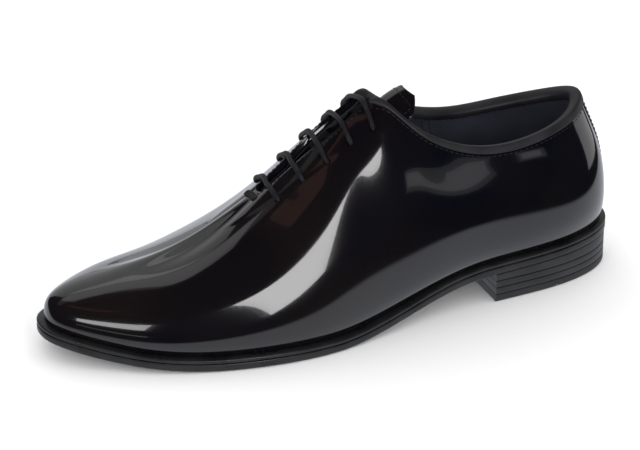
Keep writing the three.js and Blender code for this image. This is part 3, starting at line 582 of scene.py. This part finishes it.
STITCH_MARGIN = 1.1  # from the binding to the row of stitches
EDGE_PITCH = {"pitch": 2.7, "length": 2.1}  # stitches of the facings and the back strip
line_u = np.linspace(BINDING_START, STATIONS - BINDING_START, 400)
points, normals, _ = skin(line_u, below_edge(line_u, BINDING_DEPTH + STITCH_MARGIN))
inside = points - (WALL + 0.02) * normals
sew("topline_stitches", points, normals, "rearfoot", lift=0.05)
sew("lining_topline_stitches", inside, -normals, "rearfoot", lift=0.12, yarn=grey_thread)
for side, sign in (("outer", 1), ("inner", -1)):
    facing_u = np.linspace(0.55, BINDING_START + 0.1, 200)
    facing_v = below_edge(sign * facing_u % STATIONS, 2.2)
    points, normals, _ = skin(sign * facing_u % STATIONS, facing_v)
    sew(f"facing_{side}_stitches", points + 0.22 * normals, normals, "rearfoot", lift=0.03, **EDGE_PITCH)
for row, shift in ((1, -0.06), (2, 0.06)):
    seam_v = np.linspace(0.9, 4.7, 60)
    points, normals, _ = skin(np.full_like(seam_v, 15.3 + shift), seam_v)
    sew(f"lining_seam_stitches_{row}", points - (WALL + 0.02) * normals, -normals, "rearfoot", lift=0.12)

# ---- Back strip --------------------------------------------------------------------------------------
# A narrow strip of the same patent leather that covers the back seam from under the binding, skived
# thin at its edges and stitched down both sides.
strip_half = 4.5 / on_last(11, 3)[1]
strip = piece_from(
    "back_strip_leather",
    sheet_mesh(10, 40, lambda s, t: laid(12 + (2 * s - 1) * strip_half, 2.1 + 2.55 * t,
                                         -0.15 - 0.8 * smooth((1 - np.abs(2 * s - 1)) * 3.5) * smooth(t * 14))),
    patent,
)
thicken(strip, 0.3)
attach(strip, "rearfoot")
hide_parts("back_strip")
for side, sign in (("outer", -1), ("inner", 1)):
    strip_v = np.linspace(2.15, 4.6, 60)
    points, normals, _ = skin(np.full_like(strip_v, 12 + sign * strip_half * 0.66), strip_v)
    sew(f"back_strip_{side}_stitches", points + 0.92 * normals, normals, "rearfoot", lift=0.05, **EDGE_PITCH)

# ---- Throat bar --------------------------------------------------------------------------------------
# A bar tack of thick thread across the foot of the lace opening, which stops it tearing.
bar_mesh = bmesh.new()
throat_x = on_last(0, ROWS)[0]
for across in np.arange(-5.2, 5.3, 0.52):
    ends = [skin(*above(throat_x + ahead, across)) for ahead in (1.5, 4.5)]
    way = Vector(ends[1][0] - ends[0][0]).normalized()
    normal = Vector(ends[0][1] + ends[1][1]).normalized()
    side = normal.cross(way).normalized()
    centre = Vector((ends[0][0] + ends[1][0]) / 2) + normal * 0.55
    turn = Matrix((way, side, way.cross(side))).transposed().to_4x4()
    size = Matrix.Diagonal((0.0019, 0.0003, 0.0007, 1))
    bmesh.ops.create_uvsphere(bar_mesh, u_segments=10, v_segments=8, radius=1,
                              matrix=Matrix.Translation(Vector(in_frame(centre))) @ turn @ size)
throat_bar = piece_from("throat_bar_tack", bar_mesh, thread, 80)
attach(throat_bar, "rearfoot")
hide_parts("throat_bar")

# ---- Tongue ------------------------------------------------------------------------------------------
# Patent leather over its own lining, sewn in at the throat and lying under the lacing. Its top runs out
# past the facings and is stitched all round a few millimetres from the edge.
TONGUE_DEPTH = WALL + 6.4


def curve_through(points, count):
    """Centripetal Catmull-Rom curve through points, at equal distances along it."""
    points = np.asarray(points, float)
    ends = [2 * points[0] - points[1], *points, 2 * points[-1] - points[-2]]
    fine = []
    for a, b, c, d in zip(ends, ends[1:], ends[2:], ends[3:]):
        t0 = 0.0
        t1 = t0 + max(np.linalg.norm(b - a), 1e-6) ** 0.5
        t2 = t1 + max(np.linalg.norm(c - b), 1e-6) ** 0.5
        t3 = t2 + max(np.linalg.norm(d - c), 1e-6) ** 0.5
        for t in np.linspace(t1, t2, 24, endpoint=False):
            ab = (t1 - t) / (t1 - t0) * a + (t - t0) / (t1 - t0) * b
            bc = (t2 - t) / (t2 - t1) * b + (t - t1) / (t2 - t1) * c
            cd = (t3 - t) / (t3 - t2) * c + (t - t2) / (t3 - t2) * d
            abc = (t2 - t) / (t2 - t0) * ab + (t - t0) / (t2 - t0) * bc
            bcd = (t3 - t) / (t3 - t1) * bc + (t - t1) / (t3 - t1) * cd
            fine.append((t2 - t) / (t2 - t1) * abc + (t - t1) / (t2 - t1) * bcd)
    fine.append(points[-1])
    fine = np.array(fine)
    travelled = np.concatenate([[0], np.cumsum(np.linalg.norm(np.diff(fine, axis=0), axis=1))])
    at = np.linspace(0, travelled[-1], count)
    return np.stack([np.interp(at, travelled, fine[:, k]) for k in range(3)], axis=1), travelled[-1]


RIDGE_STEPS = 240
TONGUE_ROOT, TONGUE_MIDDLE, TONGUE_FLARE = 8, 13, 4.5  # half widths, and what the top adds
ROOF_ROOT, ROOF_TOP = 7, 11  # how round the tongue is across
TONGUE_LEATHER, TONGUE_LINING, TONGUE_LINING_DEPTH = 1.1, 0.7, 1.5
down = np.array([-0.66, 0, -0.75]) * TONGUE_DEPTH
ridge = [(on_last(u, ROWS) + on_last(STATIONS - u, ROWS)) / 2 * np.array([1, 0, 1]) + down
         for u in (1.2, 2, 3, 4, 5, 5.8)]
ridge += [ridge[-1] + np.array(step) for step in ((-9, 0, 7.5), (-17, 0, 12), (-24.5, 0, 14.5))]
ridge_points, _ = curve_through(ridge, RIDGE_STEPS + 1)
ridge_ways = unit(np.gradient(ridge_points, axis=0))


def on_tongue(s, t, depth=0.0):
    """s goes across from the inner to the outer side, t from the root to the top."""
    shorter = 0.025 * (1 - (2 * s - 1) ** 2) * smooth((t - 0.75) / 0.25)
    at = (t - shorter) * RIDGE_STEPS
    steps = np.arange(RIDGE_STEPS + 1)
    point = np.stack([np.interp(at, steps, ridge_points[:, k]) for k in range(3)], axis=-1)
    way = np.stack([np.interp(at, steps, ridge_ways[:, k]) for k in range(3)], axis=-1)
    half = TONGUE_ROOT + (TONGUE_MIDDLE - TONGUE_ROOT) * np.minimum(1, 1.6 * t)
    half = half + TONGUE_FLARE * smooth((t - 0.8) / 0.17)
    rounding = np.sqrt(1 - 0.8 * (np.maximum(0, t - 0.84) / 0.16) ** 2)
    y = (2 * s - 1) * half * rounding
    slope = np.where(y > 0, 1.15, 1.6)
    roof = ROOF_ROOT + (ROOF_TOP - ROOF_ROOT) * smooth(np.maximum(0, (t - 0.65) / 0.35))
    square = np.stack([way[..., 2], 0 * at, -way[..., 0]], axis=-1)
    lean = slope * y / np.hypot(y, roof)
    normal = unit(square + np.stack([0 * at, lean, 0 * at], axis=-1))
    drop = slope * (np.hypot(y, roof) - roof)
    place = point - drop[..., None] * square
    place[..., 1] = y
    return place - np.asarray(depth)[..., None] * normal, normal


tongue = piece_from(
    "tongue_leather", sheet_mesh(28, 90, lambda s, t: on_tongue(s, t, np.zeros_like(s))[0]), patent
)
thicken(tongue, TONGUE_LEATHER)
soften(tongue, 0.35)
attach(tongue, "tongue")
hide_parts("tongue")
tongue_lining = piece_from(
    "tongue_lining_leather",
    sheet_mesh(28, 90, lambda s, t: on_tongue(s, t, np.full_like(s, TONGUE_LINING_DEPTH))[0]),
    navy,
)
thicken(tongue_lining, TONGUE_LINING)
soften(tongue_lining, 0.2)
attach(tongue_lining, "tongue")
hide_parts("tongue_lining")
loop_s = np.concatenate([np.full(60, 0.08), np.linspace(0.08, 0.92, 40), np.full(60, 0.92)])
loop_t = np.concatenate([np.linspace(0.5, 0.955, 60), np.full(40, 0.955), np.linspace(0.955, 0.5, 60)])
places, normals = on_tongue(loop_s, loop_t)
sew("tongue_stitches", places, normals, "tongue", pitch=2.7, length=2.1, lift=0.05)

# ---- Lace --------------------------------------------------------------------------------------------
# A round braided cotton cord, waxed, 2.6 mm thick. It goes straight across each pair of holes, runs on
# under the facings, and both ends are tucked inside.
LACE = 2.6
LACE_OVER = LACE / 2 + 0.28


def edge_at(x, sign):
    us = np.linspace(0.5, 7.5, 281)
    points = on_last(us if sign > 0 else STATIONS - us, ROWS)
    keep = points[:, 1] * sign > 0
    return points[keep][np.argmin(np.abs(points[keep][:, 0] - x))]


def climb(hole, sign):
    """From inside the shoe out of a hole and along the facing to its edge."""
    point = on_last(*hole)
    edge = edge_at(point[0], sign)
    along = [laid(*above(point[0], edge[1] + (point[1] - edge[1]) * t), -LACE_OVER) for t in (0.8, 0.4)]
    over_edge = edge + np.array([0.55, 0, 0.83]) * LACE_OVER
    return [laid(*hole, WALL + 0.9), laid(*hole, -0.1), *along, over_edge]


lace_under = WALL + LACE / 2 + 0.8
lace_route = [laid(u, v, lace_under + 1) for u, v in ((8.1, 3.3), (7.8, 3.55), (7.4, 3.8), (7, 4))]
for row in range(4, -1, -1):
    outer_first = row % 2 == 0
    pair = (HOLES_OUTER[row], HOLES_INNER[row])
    first, second = pair if outer_first else pair[::-1]
    sign = 1 if outer_first else -1
    if row < 4:
        before = (HOLES_OUTER if outer_first else HOLES_INNER)[row + 1]
        a, b = laid(*before, lace_under), laid(*first, lace_under)
        lace_route += [a + (b - a) * 0.25, a + (b - a) * 0.75]
    lace_route += climb(first, sign) + climb(second, -sign)[::-1]
lace_route += [laid(u % STATIONS, v, lace_under + 1)
               for u, v in ((-3.1, 4), (-3.7, 3.95), (-4.3, 3.95), (-4.9, 3.92))]
lace_points, lace_length = curve_through(lace_route, 560)
lace_ways = unit(np.gradient(lace_points, axis=0))
lace_sides = [Vector((0, 1, 0)).cross(Vector(lace_ways[0])).normalized()]
for way in lace_ways[1:]:
    across = lace_sides[-1] - Vector(way) * lace_sides[-1].dot(Vector(way))
    lace_sides.append(across.normalized())
lace_sides = np.array([list(side) for side in lace_sides])
lace_tops = np.cross(lace_ways, lace_sides)


def round_lace(s, t):
    k = np.rint(s * 559).astype(int)
    a = 2 * math.pi * t
    spoke = np.cos(a)[:, None] * lace_sides[k] + np.sin(a)[:, None] * lace_tops[k]
    return lace_points[k] + LACE / 2 * spoke


lace_mesh = sheet_mesh(559, 14, round_lace)
bmesh.ops.holes_fill(lace_mesh, edges=[e for e in lace_mesh.edges if e.is_boundary])
bmesh.ops.recalc_face_normals(lace_mesh, faces=lace_mesh.faces)

# The braid is two sets of strands that cross on the cord's own UV map, along by around.
waxed_cord = finish_material("waxed_cord", (0.007, 0.0065, 0.009), (0.013, 0.0125, 0.016), (0.36, 0.5), 0.02,
                             cloud=120, grain=3500, specular=0.35)
cord_nodes, cord_links = waxed_cord.node_tree.nodes, waxed_cord.node_tree.links
cord_uv = cord_nodes.new("ShaderNodeTexCoord")
strands = []
for turns in (6, -6):
    lay = cord_nodes.new("ShaderNodeMapping")
    lay.inputs["Scale"].default_value = (lace_length / 2.4, 1, 1)
    split = cord_nodes.new("ShaderNodeSeparateXYZ")
    slant = cord_nodes.new("ShaderNodeMath")
    slant.operation = "MULTIPLY_ADD"
    slant.inputs[1].default_value = turns
    wave = cord_nodes.new("ShaderNodeMath")
    wave.operation = "SINE"
    turn = cord_nodes.new("ShaderNodeMath")
    turn.operation = "MULTIPLY"
    turn.inputs[1].default_value = 2 * math.pi
    cord_links.new(cord_uv.outputs["UV"], lay.inputs["Vector"])
    cord_links.new(lay.outputs["Vector"], split.inputs["Vector"])
    cord_links.new(split.outputs["Y"], slant.inputs[0])
    cord_links.new(split.outputs["X"], slant.inputs[2])
    cord_links.new(slant.outputs["Value"], turn.inputs[0])
    cord_links.new(turn.outputs["Value"], wave.inputs[0])
    strands.append(wave)
braid = cord_nodes.new("ShaderNodeMath")
braid.operation = "MAXIMUM"
cord_links.new(strands[0].outputs["Value"], braid.inputs[0])
cord_links.new(strands[1].outputs["Value"], braid.inputs[1])
cord_bump = cord_nodes.new("ShaderNodeBump")
cord_bump.inputs["Distance"].default_value = 0.00012
cord_links.new(braid.outputs["Value"], cord_bump.inputs["Height"])
cord_links.new(cord_nodes["Bump"].outputs["Normal"], cord_bump.inputs["Normal"])
cord_links.new(cord_bump.outputs["Normal"], cord_nodes["Principled BSDF"].inputs["Normal"])
lace = piece_from("lace_cord", lace_mesh, waxed_cord, 60)
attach(lace, "rearfoot")
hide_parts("lace")
print("lace length mm", round(lace_length, 1))

# ---- Welt and outsole --------------------------------------------------------------------------------
# The welt is a strip of black leather sewn round the feather edge, and the outsole is one sheet of sole
# leather glued and stitched under it. Their edges are trimmed together, rounded, inked and burnished.
edge_ink = finish_material("burnished_edge", (0.006, 0.006, 0.007), (0.014, 0.014, 0.015), (0.24, 0.36), 0.05,
                           cloud=90, grain=700, specular=0.5)
RIM = 240
rim_u = np.linspace(0, STATIONS, RIM, endpoint=False)
rim = on_last(rim_u, 0 * rim_u)
rim_way = on_last(rim_u + 0.02, 0 * rim_u) - on_last(rim_u - 0.02, 0 * rim_u)
rim_way[:, 2] = 0
rim_way = unit(rim_way)
rim_out = np.stack([rim_way[:, 1], -rim_way[:, 0]], axis=1)
if rim_out[0, 0] < 0:
    rim_out = -rim_out


def proud(x):
    return 2.6 + 1.0 * smooth((x - 76) / 94)


def outline(offset):
    return rim[:, :2] + rim_out * np.broadcast_to(offset, RIM)[:, None]


def plate_mesh(offset, low, high, section, inner=None):
    """A plate in an outline. section gives the edge from the top down as (in from the edge, share of the
    thickness from the bottom). With inner, it is a ring that reaches that far inside the feather."""
    bm = bmesh.new()
    bm.loops.layers.uv.new("UVMap")

    def ring(inset, share):
        flat = outline(offset - inset)
        bottom, top = low(rim[:, 0]), high(rim[:, 0])
        return np.column_stack([flat, bottom + (top - bottom) * share])

    rings = np.array([ring(*part) for part in section])

    def side(s, t):
        i = np.rint(s * RIM).astype(int) % RIM
        return rings[np.rint(t * (len(section) - 1)).astype(int), i]

    grid_on(bm, RIM, len(section) - 1, side)
    for k in (0, -1):
        if inner is None:
            def cap(s, t, k=k):
                i = np.rint(s * RIM / 2).astype(int)
                left, right = rings[k][i], rings[k][-i % RIM]
                return left + (right - left) * t[:, None]
            grid_on(bm, RIM // 2, 8, cap)
        else:
            within = ring(offset + inner, section[k][1])

            def lip(s, t, k=k, within=within):
                i = np.rint(s * RIM).astype(int) % RIM
                return rings[k][i] + (within[i] - rings[k][i]) * t[:, None]
            grid_on(bm, RIM, 2, lip)
    if inner is not None:
        top_ring, bottom_ring = ring(offset + inner, section[0][1]), ring(offset + inner, section[-1][1])

        def wall(s, t):
            i = np.rint(s * RIM).astype(int) % RIM
            return top_ring[i] + (bottom_ring[i] - top_ring[i]) * t[:, None]
        grid_on(bm, RIM, 1, wall)
    bmesh.ops.remove_doubles(bm, verts=bm.verts, dist=2e-6)
    bmesh.ops.dissolve_degenerate(bm, dist=1e-7, edges=bm.edges)
    bmesh.ops.recalc_face_normals(bm, faces=bm.faces)
    return bm


OUTSOLE = 3.8
sole_edge = [(0.75, 1), (0.3, 0.985), (0.08, 0.93), (0, 0.8), (0, 0.5), (0.02, 0.2), (0.25, 0.05), (0.8, 0)]
welt_edge = [(1.3, 1), (0.5, 0.97), (0.12, 0.86), (0, 0.62), (0, 0.4), (0.1, 0.14), (0.5, 0)]
outsole = piece_from(
    "outsole", plate_mesh(proud(rim[:, 0]), underside, lambda x: underside(x) + OUTSOLE, sole_edge), edge_ink, 50
)
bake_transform(outsole)
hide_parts("outsole_forepart", "outsole_waist")
welt = piece_from(
    "welt",
    plate_mesh(proud(rim[:, 0]), lambda x: underside(x) + OUTSOLE + GAP, lambda x: underside(x) + SOLE_STACK,
               welt_edge, inner=8.7),
    edge_ink, 50,
)
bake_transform(welt)
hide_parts("welt_forepart", "welt_rear")

# ---- Heel --------------------------------------------------------------------------------------------
# Three leather lifts and a rubber top piece, stacked, glued and nailed, then trimmed flush and inked.
# The joints between them show as fine grooves. A shallow notch runs across under the top piece.
heel_leather = finish_material("heel_leather", (0.012, 0.012, 0.013), (0.024, 0.024, 0.026), (0.3, 0.46), 0.06,
                               cloud=60, grain=500, specular=0.5)
top_rubber = finish_material("top_piece_rubber", (0.012, 0.012, 0.013), (0.02, 0.02, 0.022), (0.45, 0.6), 0.05,
                             cloud=50, grain=1800)
HEEL_HEIGHT, TOP_PIECE, HEEL_FRONT = 15.2, 3.6, 76
layer = (HEEL_HEIGHT - TOP_PIECE - GAP) / 3
layer_edge = [(0.35, 1), (0.1, 0.975), (0, 0.88), (0, 0.5), (0, 0.12), (0.1, 0.025), (0.35, 0)]


def heel_layer(name, low, high, material, node, notch=False):
    bm = plate_mesh(proud(rim[:, 0]) - 0.4, low, high, layer_edge)
    cut = Vector(in_frame([HEEL_FRONT, 0, 0]))
    parts = list(bm.verts) + list(bm.edges) + list(bm.faces)
    made = bmesh.ops.bisect_plane(bm, geom=parts, plane_co=cut, plane_no=(1, 0, 0), clear_outer=True)
    rim_edges = [e for e in made["geom_cut"] if isinstance(e, bmesh.types.BMEdge)]
    bmesh.ops.edgenet_fill(bm, edges=rim_edges)
    bmesh.ops.recalc_face_normals(bm, faces=bm.faces)
    piece = piece_from(name, bm, material, 40)
    if notch:
        cutter_mesh = bmesh.new()
        place = Matrix.Translation(Vector(in_frame([40, 0, 0]))) @ Matrix.Rotation(math.pi / 4, 4, "Y")
        bmesh.ops.create_cube(cutter_mesh, size=1, matrix=place @ Matrix.Diagonal((0.0017, 0.2, 0.0017, 1)))
        cutter = piece_from("notch_cutter", cutter_mesh, material)
        groove = piece.modifiers.new("notch", "BOOLEAN")
        groove.operation = "DIFFERENCE"
        groove.object = cutter
        groove.solver = "EXACT"
        settle(piece)
        piece.data.set_sharp_from_angle(angle=math.radians(40))
        bpy.data.objects.remove(cutter)
    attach(piece, "rearfoot")
    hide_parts(node)


heel_layer("top_piece_layer", lambda x: 0 * x, lambda x: 0 * x + TOP_PIECE, top_rubber, "top_piece",
           notch=True)
for i in range(3):
    low = TOP_PIECE + GAP + i * layer
    if i < 2:
        heel_layer(f"lift_{i + 1}", lambda x: 0 * x + low, lambda x: 0 * x + low + layer - GAP, heel_leather,
                   f"heel_lift_{i + 1}")
    else:
        heel_layer("lift_3", lambda x: 0 * x + low, lambda x: underside(x) - GAP, heel_leather, "heel_lift_3")

# ---- Insole and heel sock ----------------------------------------------------------------------------
# The insole is a board of tanned leather inside the lining. A navy leather sock is glued over its heel
# end, with a row of stitches near its edge.
insole_board = finish_material("insole_board", (0.26, 0.17, 0.1), (0.36, 0.25, 0.15), (0.6, 0.78), 0.08,
                               cloud=35, grain=600)
INSOLE, SOCK = 2.6, 0.8
board_edge = [(0.3, 1), (0, 0.85), (0, 0.15), (0.3, 0)]
insole = piece_from(
    "insole",
    plate_mesh(np.full(RIM, -5.2), lambda x: underside(x) + SOLE_STACK + GAP,
               lambda x: underside(x) + SOLE_STACK + GAP + INSOLE, board_edge),
    insole_board, 50,
)
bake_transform(insole)
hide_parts("insole_forepart", "insole_rear")


def sock_low(x):
    return underside(x) + SOLE_STACK + GAP + INSOLE + GAP


sock_mesh = plate_mesh(np.full(RIM, -6.2), sock_low, lambda x: sock_low(x) + SOCK, board_edge)
sock_cut = Vector(in_frame([HEEL_FRONT + 36, 0, 0]))
sock_parts = list(sock_mesh.verts) + list(sock_mesh.edges) + list(sock_mesh.faces)
sock_front = bmesh.ops.bisect_plane(sock_mesh, geom=sock_parts, plane_co=sock_cut, plane_no=(1, 0, 0),
                                    clear_outer=True)
cut_edges = [e for e in sock_front["geom_cut"] if isinstance(e, bmesh.types.BMEdge)]
bmesh.ops.edgenet_fill(sock_mesh, edges=cut_edges)
bmesh.ops.recalc_face_normals(sock_mesh, faces=sock_mesh.faces)
sock = piece_from("heel_sock_leather", sock_mesh, navy, 50)
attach(sock, "rearfoot")
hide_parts("heel_sock")
sock_rim = outline(np.full(RIM, -9.0))
sock_line = np.array([[x, y, sock_low(x) + SOCK] for x, y in sock_rim if x < HEEL_FRONT + 32])
first = int(np.argmax(np.linalg.norm(np.diff(sock_line[:, :2], axis=0), axis=1))) + 1
if np.linalg.norm(sock_line[first, :2] - sock_line[first - 1, :2]) > 20:
    sock_line = np.roll(sock_line, -first, axis=0)
sew("sock_stitches", sock_line, np.tile([0, 0, 1.0], (len(sock_line), 1)), "rearfoot", lift=0.02)

# ---- Hidden parts ------------------------------------------------------------------------------------
# What holds the shoe's shape inside: cork filler under the insole, a steel shank, nails, blind eyelets,
# and stiffeners of impregnated canvas. They keep the frame's shapes.
cork = finish_material("granular_cork", (0.3, 0.18, 0.08), (0.5, 0.34, 0.18), (0.8, 0.95), 0.3, cloud=500,
                       grain=900)
steel = finish_material("rolled_steel", (0.42, 0.43, 0.44), (0.6, 0.61, 0.62), (0.28, 0.42), 0.01, cloud=150,
                        grain=2500, metallic=1.0)
canvas = finish_material("stiffener_canvas", (0.34, 0.29, 0.22), (0.46, 0.4, 0.31), (0.8, 0.95), 0.1, cloud=80,
                         grain=2200)
lace_tip = finish_material("lace_tip_film", (0.01, 0.01, 0.01), (0.018, 0.018, 0.018), (0.2, 0.3), 0.01, cloud=100,
                           grain=900)
hidden = {"cork_filler": cork, "waist_filler": cork, "shank": steel, "toe_puff": canvas, "heel_counter": canvas,
          "facing_stay_outer": canvas, "facing_stay_inner": canvas, "aglet_1": lace_tip, "aglet_2": lace_tip}
for i in range(1, 6):
    hidden[f"heel_nail_{i}"] = steel
    hidden[f"eyelet_outer_{i}"] = steel
    hidden[f"eyelet_inner_{i}"] = steel
for name, material in hidden.items():
    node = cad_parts[name]
    node.data.materials.clear()
    node.data.materials.append(material)
